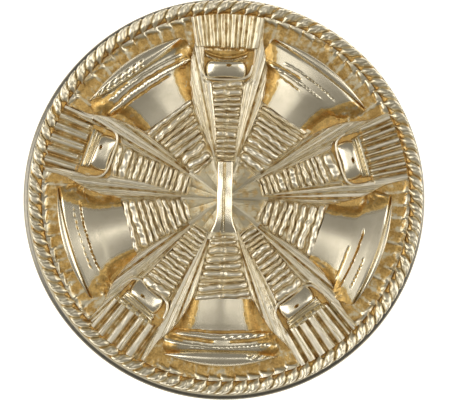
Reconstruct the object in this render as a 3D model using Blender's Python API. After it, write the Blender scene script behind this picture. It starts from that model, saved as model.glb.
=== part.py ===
"""Collar disc of a fire officer: five crossed bugles struck in gilt brass, on a post with its clutch.

The disc lies face up, with +Z up and +Y to the top of the design. It stands on the flat base
of the clutch that is pushed on its post, and the origin is the centre of that base.
"""
import math
from collections import namedtuple

import bmesh
import bpy
from mathutils import Vector

MM = 0.001

# Clutch: a turned drum with a bore for the post, and a wider flange on the side of the cloth
DRUM_DIAMETER = 9.6 * MM
DRUM_HEIGHT = 4.2 * MM
FLANGE_DIAMETER = 11.4 * MM
FLANGE_THICKNESS = 1.0 * MM
CLUTCH_EDGE = 0.3 * MM
BORE_CLEARANCE = 0.3 * MM
CLUTCH_SIDES = 28

# Post on the back of the disc, with the foot that is soldered to the blank
POST_DIAMETER = 1.2 * MM
POST_TIP_DIAMETER = 0.4 * MM
POST_POINT = 0.7 * MM
TIP_ABOVE_BASE = 0.6 * MM
FOOT_DIAMETER = 3.2 * MM
FOOT_THICKNESS = 0.35 * MM
POST_SIDES = 16

# Blank that the design is struck in. CLOTH_GAP is the room for the cloth between it and the clutch
CLOTH_GAP = 2.5 * MM
DISC_DIAMETER = 25.4 * MM
BLANK_THICKNESS = 1.3 * MM
EDGE_ROUND = 0.12 * MM
DISC_SIDES = 108

# The die strikes the blank a little off its centre, and its border a little more
STRIKE_SHIFT = Vector((0.04, 0.07, 0.0)) * MM
ROPE_SHIFT = Vector((0.11, 0.15, 0.0)) * MM

# Rope border. A strand leans by this many pitches while it crosses the rope, and a fine line is
# left between the rope and what ends at it
BORDER_WIDTH = 0.28 * MM
ROPE_WIDTH = 0.78 * MM
ROPE_HEIGHT = 0.42 * MM
ROPE_STRANDS = 86
STRAND_LEAN = 1.0
STRAND_GROOVE = 0.5
ROPE_LINE = 0.03 * MM
# Across the rope: shares of its width and its height
ROPE_PROFILE = ((0.0, 0.0), (0.27, 0.94), (0.73, 0.94), (1.0, 0.0))

# Channel between the bells and the rope, with radial ribs and a row of pads at the rope
CHANNEL_WIDTH = 1.01 * MM
PAD_WIDTH = 0.28 * MM
PAD_HEIGHT = 0.22 * MM
RIB_HEIGHT = 0.14 * MM
RIB_VALLEY = 0.05 * MM
RIBS_PER_BELL = 12
RIB_PITCH = math.radians(4.2)

# Bugles, crossed at the centre: each has its bell on one side and its mouthpiece on the other
BUGLES = 5
BELL_DIRECTION = math.radians(-90)
BELL_SIDES = 6
MOUTH_SIDES = 4
GROOVE_WIDTH = 0.93
GROOVE_HEIGHT = 0.76
ROLL_FLAT = 0.55
THROAT_LINE = 0.06 * MM
Tube = namedtuple("Tube", "start_width end_width height")

# Bell arm: the wound tube widens to the throat, and the bell flares to its lip
BELL_TUBE = Tube(start_width=1.55 * MM, end_width=3.40 * MM, height=0.60 * MM)
LIP_WIDTH = 7.34 * MM
LIP_HEIGHT = 0.95 * MM
LIP_BOW = 0.70 * MM

Roll = namedtuple("Roll", "centre half_length")
# Rolls of the wound tube, as shares of the wound length
BELL_ROLLS = (
    Roll(0.055, 0.055),
    Roll(0.20, 0.07),
    Roll(0.375, 0.08),
    Roll(0.575, 0.09),
    Roll(0.78, 0.09),
    Roll(0.945, 0.05),
)
Station = namedtuple("Station", "along half_width crest bow")
# Bell from the throat to the lip's edge: shares of its reach, half the lip's width, the lip's
# height and the lip's bow
BELL_STATIONS = (
    Station(0.612, 0.425, 0.66, 0.0),
    Station(0.667, 0.440, 0.68, 0.0),
    Station(0.726, 0.470, 0.71, 0.05),
    Station(0.780, 0.535, 0.76, 0.18),
    Station(0.821, 0.621, 0.84, 0.36),
    Station(0.833, 0.621, 0.76, 0.36),
    Station(0.845, 0.655, 0.86, 0.36),
    Station(0.893, 0.767, 0.91, 0.48),
    Station(0.935, 0.900, 0.97, 0.56),
    Station(0.967, 0.985, 1.0, 0.64),
    Station(0.988, 1.0, 0.82, 0.86),
    Station(1.0, 0.985, 0.45, 1.0),
)

# Mouthpiece arm: a narrower wound tube, then the end block, the cup and its rim
MOUTH_REACH = 9.0 * MM
MOUTH_TUBE = Tube(start_width=1.32 * MM, end_width=1.66 * MM, height=0.55 * MM)
MOUTH_ROLLS = 8
CUP_WIDTH = 2.62 * MM
CUP_HEIGHT = 0.74 * MM
# End block, gap, cup and rim: shares of the reach, half the cup's width and the cup's height
MOUTH_STATIONS = (
    Station(0.754, 0.74, 0.68, 0.0),
    Station(0.783, 0.76, 0.76, 0.0),
    Station(0.791, 0.72, 0.60, 0.0),
    Station(0.799, 0.78, 0.76, 0.0),
    Station(0.825, 0.80, 0.68, 0.0),
    Station(0.834, 0.62, 0.30, 0.0),
    Station(0.846, 0.90, 0.42, 0.0),
    Station(0.862, 0.98, 0.82, 0.0),
    Station(0.898, 1.0, 1.0, 0.0),
    Station(0.933, 0.98, 0.84, 0.0),
    Station(0.954, 0.94, 0.52, 0.0),
    Station(0.965, 1.02, 0.62, 0.0),
    Station(0.986, 1.06, 0.56, 0.0),
    Station(1.0, 1.04, 0.20, 0.0),
)

# Spokes beside each mouthpiece tube, with raised wires along them. They leave a pocket for the cup
SPOKE_HEIGHT = 0.30 * MM
WIRE_RELIEF = 0.10 * MM
SPOKE_WIRES = 3
SPOKE_INNER = math.radians(9.3)
SPOKE_OUTER = math.radians(18.5)
POCKET_GAP = 0.25 * MM
Edge = namedtuple("Edge", "along in_pocket outer")
# Their edges, from 0 at the centre to 1 at the mouthpiece's rim and 2 at the rope. The outer edge
# is a share of its angle from the mouthpiece's axis
SPOKE_EDGES = (
    Edge(0.834, False, 1.0),
    Edge(0.851, True, 1.0),
    Edge(0.970, True, 1.0),
    Edge(1.120, False, 0.84),
    Edge(1.385, False, 0.68),
    Edge(2.0, False, 0.61),
)

# Fan of flutes between the mouthpiece and the rope
FAN_GAP = 0.28 * MM
FAN_ANGLE = math.radians(9.6)
FLUTES = 5
FLUTE_HEIGHT = 0.28 * MM
FLUTE_VALLEY = 0.07 * MM
# One flute and its valley: shares of their width, and of the flute's height over the valley
FLUTE_PROFILE = ((0.0, 0.0), (0.22, 1.0), (0.74, 1.0), (0.92, 0.0))

# Hub of low facets, and the plain tube of the upright bugle that lies across it
HUB_RADIUS = 2.42 * MM
HUB_LAP = 0.07 * MM
HUB_TOP = 0.52 * MM
HUB_RIDGE = 0.34 * MM
HUB_VALLEY = 0.20 * MM
CROSS_TUBE_WIDTH = 1.04 * MM
CROSS_TUBE_HEIGHT = 0.86 * MM
CROSS_TUBE_REACH = 2.30 * MM
# The tube from its flared foot to its top end: shares of its reach, half its width and its height
CROSS_TUBE_STATIONS = (
    Station(-0.93, 1.75, 0.78, 0.0),
    Station(-0.72, 1.30, 0.90, 0.0),
    Station(-0.42, 1.03, 0.99, 0.0),
    Station(0.60, 1.0, 1.0, 0.0),
    Station(1.0, 1.0, 0.94, 0.0),
)

# Heights and radii that follow from the sizes above. A raised form reaches SUNK into the blank
CLUTCH_HEIGHT = DRUM_HEIGHT + FLANGE_THICKNESS
BACK_Z = CLUTCH_HEIGHT + CLOTH_GAP
GROUND_Z = BACK_Z + BLANK_THICKNESS
SUNK = BLANK_THICKNESS / 5
DISC_RADIUS = DISC_DIAMETER / 2
ROPE_OUTSIDE = DISC_RADIUS - BORDER_WIDTH
ROPE_INSIDE = ROPE_OUTSIDE - ROPE_WIDTH
BELL_REACH = ROPE_INSIDE - CHANNEL_WIDTH
WOUND_START = HUB_RADIUS - HUB_LAP
BUGLE_STEP = 2 * math.pi / BUGLES

GILT = (0.78, 0.60, 0.33, 1.0)
GILT_ROUGHNESS = 0.25
BRASS = (0.62, 0.47, 0.24, 1.0)
BRASS_ROUGHNESS = 0.35


def metal(name, colour, roughness):
    """A plain polished metal of the given colour."""
    material = bpy.data.materials.new(name)
    material.use_nodes = True
    shader = material.node_tree.nodes["Principled BSDF"]
    shader.inputs["Base Color"].default_value = colour
    shader.inputs["Metallic"].default_value = 1.0
    shader.inputs["Roughness"].default_value = roughness
    material.diffuse_color = colour
    return material


def finish_mesh(bm, name, collection):
    """Turn a bmesh into a smooth-shaded object with its sharp edges kept."""
    bmesh.ops.recalc_face_normals(bm, faces=bm.faces)
    mesh = bpy.data.meshes.new(name)
    bm.to_mesh(mesh)
    bm.free()
    mesh.shade_smooth()
    mesh.set_sharp_from_angle(angle=math.radians(30))
    part = bpy.data.objects.new(name, mesh)
    collection.objects.link(part)
    return part


def turned(bm, outline, sides):
    """Spin an outline of (radius, z) pairs round the Z axis, with its two ends on the axis or joined."""
    points = [bm.verts.new((radius, 0.0, z)) for radius, z in outline]
    edges = [bm.edges.new(pair) for pair in zip(points, points[1:])]
    if outline[0][0] > 0.0:
        edges.append(bm.edges.new((points[-1], points[0])))
    bmesh.ops.spin(
        bm,
        geom=points + edges,
        axis=(0, 0, 1),
        cent=(0, 0, 0),
        angle=2 * math.pi,
        steps=sides,
        use_merge=True,
    )
    bmesh.ops.remove_doubles(bm, verts=bm.verts, dist=1e-7)


def raised(name, rows, relief, ring=False):
    """A form struck up from the ground: a surface through rows of points, its walls sunk in the blank."""
    bm = bmesh.new()
    grid = [[bm.verts.new(point) for point in row] for row in rows]
    if ring:
        grid.append(grid[0])
    for row, following in zip(grid, grid[1:]):
        for corner in range(len(row) - 1):
            bm.faces.new((row[corner], row[corner + 1], following[corner + 1], following[corner]))
    sink(bm)
    guide(finish_mesh(bm, name, relief))


def sink(bm):
    """Extrude an open surface down into the blank, which closes it."""
    extruded = bmesh.ops.extrude_face_region(bm, geom=bm.faces[:])
    for vertex in extruded["geom"]:
        if isinstance(vertex, bmesh.types.BMVert):
            vertex.co.z = GROUND_Z - SUNK


def guide(part):
    """Hide a form that is joined into the disc by its Boolean."""
    part.hide_render = True
    part.display_type = "WIRE"


def on_arm(direction, along, across, height):
    """The point this far along an arm from the design's centre, across it and above the ground."""
    cosine, sine = math.cos(direction), math.sin(direction)
    x = cosine * along - sine * across
    y = sine * along + cosine * across
    return STRIKE_SHIFT + Vector((x, y, GROUND_Z + height))


def on_ring(centre, radius, angle, height):
    """The point at this radius and angle round a centre, above the ground."""
    return centre + Vector((radius * math.cos(angle), radius * math.sin(angle), GROUND_Z + height))


def arched(direction, sides, along, half_width, crest, bow=0.0):
    """A half-round row across an arm. Its two ends are on the ground and bow back along the arm."""
    row = []
    for side in range(sides + 1):
        turn = math.pi * side / sides
        across = -math.cos(turn)
        height = crest * math.sin(turn)
        row.append(on_arm(direction, along - bow * across**2, half_width * across, height))
    return row


def wound(direction, sides, rolls, crest_steps, tube, end):
    """Rows of a tube bound with rolls of cord, with a groove between one roll and the next."""
    rows = []
    length = end - WOUND_START
    groove = (-1.0, GROOVE_WIDTH, GROOVE_HEIGHT)
    crests = [(step, 1.0, 1.0) for step in crest_steps]
    for roll in rolls:
        half_width = (tube.start_width + (tube.end_width - tube.start_width) * roll.centre) / 2
        for step, width, height in [groove] + crests:
            along = WOUND_START + length * (roll.centre + roll.half_length * step)
            rows.append(arched(direction, sides, along, half_width * width, tube.height * height))
    end_width = tube.end_width / 2 * GROOVE_WIDTH
    rows.append(arched(direction, sides, end, end_width, tube.height * GROOVE_HEIGHT))
    return rows


def at_stations(direction, sides, stations, reach, width, height, bow=0.0):
    """Rows at the stations of a table, scaled to this reach, width, height and bow."""
    rows = []
    for station in stations:
        half_width = station.half_width * width / 2
        crest = station.crest * height
        rows.append(
            arched(direction, sides, station.along * reach, half_width, crest, station.bow * bow)
        )
    return rows


def add_bell(number, direction, relief):
    """A bell arm: wound tube, flare, beaded line, skirt and lip."""
    throat = BELL_STATIONS[0].along * BELL_REACH - THROAT_LINE
    rows = wound(direction, BELL_SIDES, BELL_ROLLS, (-ROLL_FLAT, ROLL_FLAT), BELL_TUBE, throat)
    rows += at_stations(
        direction, BELL_SIDES, BELL_STATIONS, BELL_REACH, LIP_WIDTH, LIP_HEIGHT, LIP_BOW
    )
    raised(f"bell_{number}", rows, relief)


def add_mouthpiece(number, direction, relief):
    """A mouthpiece arm: wound tube, end block, cup and rim."""
    rolls = [Roll((index + 0.5) / MOUTH_ROLLS, 0.5 / MOUTH_ROLLS) for index in range(MOUTH_ROLLS)]
    block = MOUTH_STATIONS[0].along * MOUTH_REACH - THROAT_LINE
    rows = wound(direction, MOUTH_SIDES, rolls, (0.0,), MOUTH_TUBE, block)
    rows += at_stations(direction, MOUTH_SIDES, MOUTH_STATIONS, MOUTH_REACH, CUP_WIDTH, CUP_HEIGHT)
    raised(f"mouthpiece_{number}", rows, relief)


def on_design(share, angle, height):
    """The point at this share of the way from the design's centre to the line inside the rope."""
    centre = STRIKE_SHIFT.lerp(ROPE_SHIFT, share)
    return on_ring(centre, share * (ROPE_INSIDE - ROPE_LINE), angle, height)


def corrugated(direction, share, first, last, waves):
    """A row round the design's centre between two angles, through (place, height) pairs."""
    return [
        on_design(share, direction + first + (last - first) * place, height)
        for place, height in waves
    ]


def add_spokes(number, direction, relief):
    """The two spokes beside one mouthpiece."""
    waves = [(0.0, SPOKE_HEIGHT - WIRE_RELIEF)]
    for wire in range(SPOKE_WIRES):
        waves.append(((wire + 0.5) / SPOKE_WIRES, SPOKE_HEIGHT))
        waves.append(((wire + 1.0) / SPOKE_WIRES, SPOKE_HEIGHT - WIRE_RELIEF))
    start = Edge(WOUND_START / MOUTH_REACH, False, 1.0)
    for side, name in ((-1, "right"), (1, "left")):
        rows = []
        for edge in (start,) + SPOKE_EDGES:
            radius = min(edge.along, 1.0) * MOUTH_REACH
            radius += max(edge.along - 1.0, 0.0) * (ROPE_INSIDE - MOUTH_REACH)
            inner = SPOKE_INNER
            if edge.in_pocket:
                inner = math.asin((CUP_WIDTH / 2 + POCKET_GAP) / radius)
            outer = edge.outer * SPOKE_OUTER
            rows.append(corrugated(direction, radius / ROPE_INSIDE, side * inner, side * outer, waves))
        raised(f"spoke_{number}_{name}", rows, relief)


def add_fan(number, direction, relief):
    """The flutes between one mouthpiece and the rope."""
    waves = []
    for flute in range(FLUTES):
        for share, rise in FLUTE_PROFILE:
            height = FLUTE_VALLEY + (FLUTE_HEIGHT - FLUTE_VALLEY) * rise
            waves.append(((flute + share) / FLUTES, height))
    waves.append((1.0, FLUTE_VALLEY))
    rows = [
        corrugated(direction, share, -FAN_ANGLE, FAN_ANGLE, waves)
        for share in ((MOUTH_REACH + FAN_GAP) / ROPE_INSIDE, 1.0)
    ]
    raised(f"fan_{number}", rows, relief)


def add_channel(number, direction, relief):
    """The ribs and pads between one bell and the rope."""
    inside = math.hypot(BELL_REACH - LIP_BOW, LIP_WIDTH / 2) - LIP_BOW
    rows = []
    for half_pitch in range(2 * RIBS_PER_BELL + 1):
        angle = direction + (half_pitch / 2 - RIBS_PER_BELL / 2) * RIB_PITCH
        low = RIB_VALLEY if half_pitch % 2 else RIB_HEIGHT
        pad = PAD_HEIGHT + low - RIB_VALLEY
        rows.append(
            [
                on_design(share, angle, height)
                for share, height in (
                    (inside / ROPE_INSIDE, low),
                    (1.0 - PAD_WIDTH / ROPE_INSIDE, low),
                    (1.0, pad),
                )
            ]
        )
    raised(f"channel_{number}", rows, relief)


def add_rope(relief):
    """The border of leaning strands, one ring."""
    pitch = 2 * math.pi / ROPE_STRANDS
    rows = []
    for half_strand in range(2 * ROPE_STRANDS):
        strand = STRAND_GROOVE if half_strand % 2 else 1.0
        rows.append(
            [
                on_ring(
                    ROPE_SHIFT,
                    ROPE_INSIDE + ROPE_WIDTH * share,
                    (half_strand / 2 - STRAND_LEAN * share) * pitch,
                    ROPE_HEIGHT * rise * strand,
                )
                for share, rise in ROPE_PROFILE
            ]
        )
    raised("rope", rows, relief, ring=True)


def add_hub(relief):
    """A low cone of facets, with a ridge to each spoke."""
    facets = 4 * BUGLES
    bm = bmesh.new()
    bmesh.ops.create_circle(bm, cap_ends=True, cap_tris=True, segments=facets, radius=HUB_RADIUS)
    for vertex in bm.verts:
        angle = math.atan2(vertex.co.y, vertex.co.x)
        is_centre = vertex.co.length < HUB_RADIUS / 2
        on_ridge = round(angle / (2 * math.pi) * facets) % 2
        rim = HUB_RIDGE if on_ridge else HUB_VALLEY
        vertex.co += STRIKE_SHIFT
        vertex.co.z = GROUND_Z + (HUB_TOP if is_centre else rim)
    sink(bm)
    guide(finish_mesh(bm, "hub", relief))


def add_cross_tube(relief):
    """The upright bugle's plain tube, on top of the others."""
    rows = at_stations(
        BELL_DIRECTION + math.pi,
        BELL_SIDES,
        CROSS_TUBE_STATIONS,
        CROSS_TUBE_REACH,
        CROSS_TUBE_WIDTH,
        CROSS_TUBE_HEIGHT,
    )
    raised("cross_tube", rows, relief)


def add_post(relief):
    """The pointed post and its soldered foot, sunk in the back of the blank."""
    bm = bmesh.new()
    turned(
        bm,
        (
            (0.0, TIP_ABOVE_BASE),
            (POST_TIP_DIAMETER / 2, TIP_ABOVE_BASE),
            (POST_DIAMETER / 2, TIP_ABOVE_BASE + POST_POINT),
            (POST_DIAMETER / 2, BACK_Z - FOOT_THICKNESS),
            (FOOT_DIAMETER / 2, BACK_Z - FOOT_THICKNESS),
            (FOOT_DIAMETER / 2, BACK_Z + SUNK),
            (0.0, BACK_Z + SUNK),
        ),
        POST_SIDES,
    )
    guide(finish_mesh(bm, "post", relief))


def add_disc(collection):
    """The blank with all that is struck up on it and soldered to it."""
    relief = bpy.data.collections.new("relief")
    collection.children.link(relief)
    for number in range(BUGLES):
        bell = BELL_DIRECTION + number * BUGLE_STEP
        mouth = bell + math.pi
        add_bell(number, bell, relief)
        add_channel(number, bell, relief)
        add_mouthpiece(number, mouth, relief)
        add_spokes(number, mouth, relief)
        add_fan(number, mouth, relief)
    add_rope(relief)
    add_hub(relief)
    add_cross_tube(relief)
    add_post(relief)

    bm = bmesh.new()
    turned(
        bm,
        (
            (0.0, BACK_Z),
            (DISC_RADIUS - EDGE_ROUND, BACK_Z),
            (DISC_RADIUS, BACK_Z + EDGE_ROUND),
            (DISC_RADIUS, GROUND_Z - EDGE_ROUND),
            (DISC_RADIUS - EDGE_ROUND, GROUND_Z),
            (0.0, GROUND_Z),
        ),
        DISC_SIDES,
    )
    disc = finish_mesh(bm, "struck_disc", collection)
    disc.data.materials.append(metal("gilt brass", GILT, GILT_ROUGHNESS))
    union = disc.modifiers.new("relief", "BOOLEAN")
    union.operation = "UNION"
    union.operand_type = "COLLECTION"
    union.collection = relief
    union.solver = "EXACT"


def add_clutch(collection):
    """The clutch: a drum that the pin stands on, with its flange on top and a bore through both."""
    bore = POST_DIAMETER / 2 + BORE_CLEARANCE
    drum = DRUM_DIAMETER / 2
    flange = FLANGE_DIAMETER / 2
    bm = bmesh.new()
    turned(
        bm,
        (
            (bore, 0.0),
            (drum - CLUTCH_EDGE, 0.0),
            (drum, CLUTCH_EDGE),
            (drum, DRUM_HEIGHT),
            (flange, DRUM_HEIGHT),
            (flange, CLUTCH_HEIGHT - CLUTCH_EDGE),
            (flange - CLUTCH_EDGE, CLUTCH_HEIGHT),
            (bore, CLUTCH_HEIGHT),
        ),
        CLUTCH_SIDES,
    )
    clutch = finish_mesh(bm, "clutch", collection)
    clutch.data.materials.append(metal("clutch brass", BRASS, BRASS_ROUGHNESS))


for leftover in list(bpy.data.objects):
    bpy.data.objects.remove(leftover)
add_disc(bpy.context.scene.collection)
add_clutch(bpy.context.scene.collection)
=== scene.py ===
import math
import random
from collections import namedtuple

import bmesh
import bpy
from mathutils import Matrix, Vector, noise


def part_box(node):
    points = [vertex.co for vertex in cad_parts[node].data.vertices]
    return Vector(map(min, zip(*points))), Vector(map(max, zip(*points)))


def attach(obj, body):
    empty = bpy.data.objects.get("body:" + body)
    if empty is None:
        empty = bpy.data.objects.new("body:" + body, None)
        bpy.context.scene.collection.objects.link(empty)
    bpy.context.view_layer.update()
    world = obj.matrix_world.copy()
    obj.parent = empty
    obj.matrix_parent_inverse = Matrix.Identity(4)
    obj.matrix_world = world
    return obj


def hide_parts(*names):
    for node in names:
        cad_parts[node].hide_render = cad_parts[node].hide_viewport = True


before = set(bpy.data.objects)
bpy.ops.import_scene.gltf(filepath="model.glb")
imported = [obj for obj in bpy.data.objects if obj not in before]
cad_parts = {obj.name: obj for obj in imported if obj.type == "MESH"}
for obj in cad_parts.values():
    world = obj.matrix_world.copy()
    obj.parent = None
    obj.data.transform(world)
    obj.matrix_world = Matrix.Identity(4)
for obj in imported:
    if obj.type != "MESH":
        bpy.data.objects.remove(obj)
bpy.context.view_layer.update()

# The blank: a round of sheet brass, gilt after striking. Its back is flat and plain, and its edge is
# a little rounded. The ground of the design, which the border and the bells leave bare, is matte.
MM = 0.001
CLOTH_GAP = 2.5 * MM
BLANK_THICKNESS = 1.3 * MM
BACK_ROUND = 0.16 * MM
EDGE_STEPS = 7
BLANK_SIDES = 256
disc_low, disc_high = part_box("struck_disc")
clutch_low, clutch_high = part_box("clutch")
DISC_RADIUS = (disc_high.x - disc_low.x) / 2
BACK_Z = clutch_high.z + CLOTH_GAP
GROUND_Z = BACK_Z + BLANK_THICKNESS
# Each form of the relief is closed this far down inside the blank.
SUNK = BLANK_THICKNESS / 5
BORDER_WIDTH = 0.28 * MM
PLAIN_POLISH = 0.85
# The ground is half polished as far as OLIVE_TO, and dull from WARM_FROM on.
OLIVE_TO = 5.8 * MM
OLIVE_POLISH = 0.5
WARM_FROM = 6.4 * MM
CHAMPAGNE = (0.88, 0.79, 0.60, 1.0)
OLIVE = (0.58, 0.49, 0.28, 1.0)
ORANGE = (0.90, 0.58, 0.18, 1.0)
BROWN = (0.59, 0.38, 0.14, 1.0)
ORANGE_TO_BROWN = (ORANGE, BROWN)


class Signal:
    """A value, colour or vector on its way through a shader; arithmetic on values adds Math nodes."""

    def __init__(self, tree, socket=None):
        self.tree = tree
        self.socket = socket

    def add(self, kind, settings=None, sockets=None, output=0):
        """Any other node, by its type, its settings and the values or links of its sockets."""
        node = self.tree.nodes.new(kind)
        for name, value in (settings or {}).items():
            if name == "stops":
                ramp = node.color_ramp
                while len(ramp.elements) < len(value):
                    ramp.elements.new(0.5)
                for element, (place, colour) in zip(ramp.elements, value):
                    element.position = place
                    element.color = colour
            else:
                setattr(node, name, value)
        for name, value in (sockets or {}).items():
            if isinstance(value, Signal):
                self.tree.links.new(value.socket, node.inputs[name])
            else:
                node.inputs[name].default_value = value
        return Signal(self.tree, node.outputs[output])

    def maths(self, operation, *values):
        return self.add("ShaderNodeMath", {"operation": operation}, dict(enumerate(values)))

    def into(self, shader, name):
        """Feed this to the shader's socket of that name."""
        self.tree.links.new(self.socket, shader.inputs[name])

    def __add__(self, other):
        return self.maths("ADD", self, other)

    def __radd__(self, other):
        return self.maths("ADD", other, self)

    def __sub__(self, other):
        return self.maths("SUBTRACT", self, other)

    def __rsub__(self, other):
        return self.maths("SUBTRACT", other, self)

    def __mul__(self, other):
        return self.maths("MULTIPLY", self, other)

    def __rmul__(self, other):
        return self.maths("MULTIPLY", other, self)


def mixed(share, first, second):
    """One colour passing to another."""
    settings = {"data_type": "RGBA", "clamp_factor": True}
    return share.add("ShaderNodeMix", settings, {0: share, 6: first, 7: second}, output=2)


def begun(name):
    """A new material, the start of its shader maths and its shader."""
    material = bpy.data.materials.new(name)
    material.use_nodes = True
    return material, Signal(material.node_tree), material.node_tree.nodes["Principled BSDF"]


def gilt(name, bright, stretch, grain_size, cut, smooth, matte, dull=ORANGE_TO_BROWN):
    """Gold plate over brass: bright where the attribute polish is 1, matte and dull where it is 0.

    The die's fine tool marks follow the attribute grain: grain_size is their width, stretch how many
    times longer than wide they are, and cut their depth. smooth and matte are the roughness of a
    bright and of a dull place, and dull holds the two colours that mottle a dull one.
    """
    material, start, shader = begun(name)
    # In some pieces the attribute polish also carries painted light: it is lowered in shaded hollows as
    # painted shade, and raised on the channel's pads as a painted highlight.
    polish = start.add("ShaderNodeAttribute", {"attribute_name": "polish"}, output=2)
    place = start.add("ShaderNodeTexCoord", output=3)
    grain = start.add("ShaderNodeAttribute", {"attribute_name": "grain"}, output=1)
    drawn_out = start.add("ShaderNodeMapping", {}, {"Vector": grain, "Scale": (1 / stretch, 1.0, 1.0)})

    def unevenness(at, scale, detail):
        return start.add("ShaderNodeTexNoise", {}, {"Vector": at, "Scale": scale, "Detail": detail}) - 0.5

    mottle = unevenness(place, scale=2600.0, detail=3.0)
    pits = unevenness(place, scale=9000.0, detail=2.0)
    marks = unevenness(drawn_out, scale=1.0 / grain_size, detail=3.0)
    worn = polish + 1.9 * mottle * (1.15 - polish)
    share = start.add(
        "ShaderNodeMapRange",
        {"interpolation_type": "SMOOTHSTEP"},
        {"Value": worn, "From Min": 0.12, "From Max": 0.62},
    )
    recess = mixed(mottle * 2.4 + pits * 1.8 + 0.45, dull[1], dull[0])
    tone = mixed(marks * 1.6 + 0.3, OLIVE, bright)
    raised = mixed(worn.maths("POWER", worn, 2.0) * 0.95, tone, bright)
    mixed(share, recess, raised).into(shader, "Base Color")
    roughness = matte - share * (matte - smooth) + pits * (0.14 - share * 0.11)
    roughness.into(shader, "Roughness")
    shader.inputs["Metallic"].default_value = 1.0
    height = pits * ((1.0 - share) * 0.9 + 0.02) + marks * (cut * (1.25 - share))
    height = height + mottle * (1.2 - share * 1.2)
    bump = start.add("ShaderNodeBump", {}, {"Strength": 0.5, "Distance": 0.06 * MM, "Height": height})
    bump.into(shader, "Normal")
    return material


def placed(name, data):
    """A new object of this data, put in the scene at the origin."""
    made = bpy.data.objects.new(name, data)
    bpy.context.scene.collection.objects.link(made)
    return made


def dressed(bm, name, material, sharp=math.radians(42)):
    """Close a piece: its normals out, its attributes kept, its look and its place in the frame."""
    bmesh.ops.recalc_face_normals(bm, faces=bm.faces)
    mesh = bpy.data.meshes.new(name)
    bm.to_mesh(mesh)
    bm.free()
    mesh.shade_smooth()
    mesh.set_sharp_from_angle(angle=sharp)
    mesh.materials.append(material)
    piece = placed(name, mesh)
    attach(piece, "root")
    return piece


def struck(bm, name, material, sharp=math.radians(42)):
    """A piece of the one struck disc, which takes the disc's finish."""
    piece = dressed(bm, name, material, sharp)
    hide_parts("struck_disc")
    return piece


def turned(bm, outline, sides):
    """Spin an outline of (radius, z) round the Z axis. One that starts off the axis is closed first."""
    points = [bm.verts.new((radius, 0.0, z)) for radius, z in outline]
    edges = [bm.edges.new(pair) for pair in zip(points, points[1:])]
    if outline[0][0] > 0.0:
        edges.append(bm.edges.new((points[-1], points[0])))
    bmesh.ops.spin(
        bm,
        geom=points + edges,
        axis=(0, 0, 1),
        cent=(0, 0, 0),
        angle=2 * math.pi,
        steps=sides,
        use_merge=True,
    )
    bmesh.ops.remove_doubles(bm, verts=bm.verts, dist=1e-7)


def rounded(radius, z, size, start, steps):
    """A quarter round about (radius, z), from the angle start, in an outline's (radius, z)."""
    turns = [start + math.pi / 2 * step / steps for step in range(steps + 1)]
    return [(radius + size * math.cos(turn), z + size * math.sin(turn)) for turn in turns]


gilt_ground = gilt(
    "gilt_ground", CHAMPAGNE, stretch=1.0, grain_size=0.05 * MM, cut=0.2, smooth=0.30, matte=0.46
)
bm = bmesh.new()
outline = [(0.0, BACK_Z)]
outline += rounded(DISC_RADIUS - BACK_ROUND, BACK_Z + BACK_ROUND, BACK_ROUND, -math.pi / 2, EDGE_STEPS)
outline += rounded(DISC_RADIUS - BORDER_WIDTH, GROUND_Z - BORDER_WIDTH, BORDER_WIDTH, 0.0, EDGE_STEPS)
outline += [(radius, GROUND_Z) for radius in (DISC_RADIUS - 2 * BORDER_WIDTH, WARM_FROM, OLIVE_TO, 0.0)]
turned(bm, outline, BLANK_SIDES)
polish = bm.verts.layers.float.new("polish")
for vertex in bm.verts:
    radius = math.hypot(vertex.co.x, vertex.co.y)
    if radius > DISC_RADIUS - 1.5 * BORDER_WIDTH or vertex.co.z < BACK_Z + BACK_ROUND:
        vertex[polish] = PLAIN_POLISH
    elif radius < OLIVE_TO + BORDER_WIDTH:
        vertex[polish] = OLIVE_POLISH
struck(bm, "blank", gilt_ground)

# The rim: the edge of the blank, rolled over in the trimming die. Its grey, darker than the face,
# is painted shade: the dark surroundings that its steep edge reflects, painted into its colour.
RIM_SKIN = 0.004 * MM
# Painted shade: the rim's colour is darkened to grey to stand for a dark reflection.
RIM_PAINTED_SHADE_GREY = (0.19, 0.18, 0.165, 1.0)
RIM_POLISH = 0.9


def evenly_polished(bm, shine):
    """Give the whole piece one polish."""
    polish = bm.verts.layers.float.new("polish")
    for vertex in bm.verts:
        vertex[polish] = shine


gilt_rim_painted_shade = gilt("gilt_rim_painted_shade", RIM_PAINTED_SHADE_GREY, stretch=1.0, grain_size=0.05 * MM, cut=0.2, smooth=0.30, matte=0.46)
bm = bmesh.new()
centre = DISC_RADIUS - BORDER_WIDTH
skin = rounded(centre, GROUND_Z - BORDER_WIDTH, BORDER_WIDTH - RIM_SKIN, 0.0, EDGE_STEPS)
skin = [(radius, z + 2 * RIM_SKIN) for radius, z in skin]
turned(bm, skin + [(centre, GROUND_Z - BORDER_WIDTH)], BLANK_SIDES)
evenly_polished(bm, RIM_POLISH)
struck(bm, "rim", gilt_rim_painted_shade)

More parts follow.
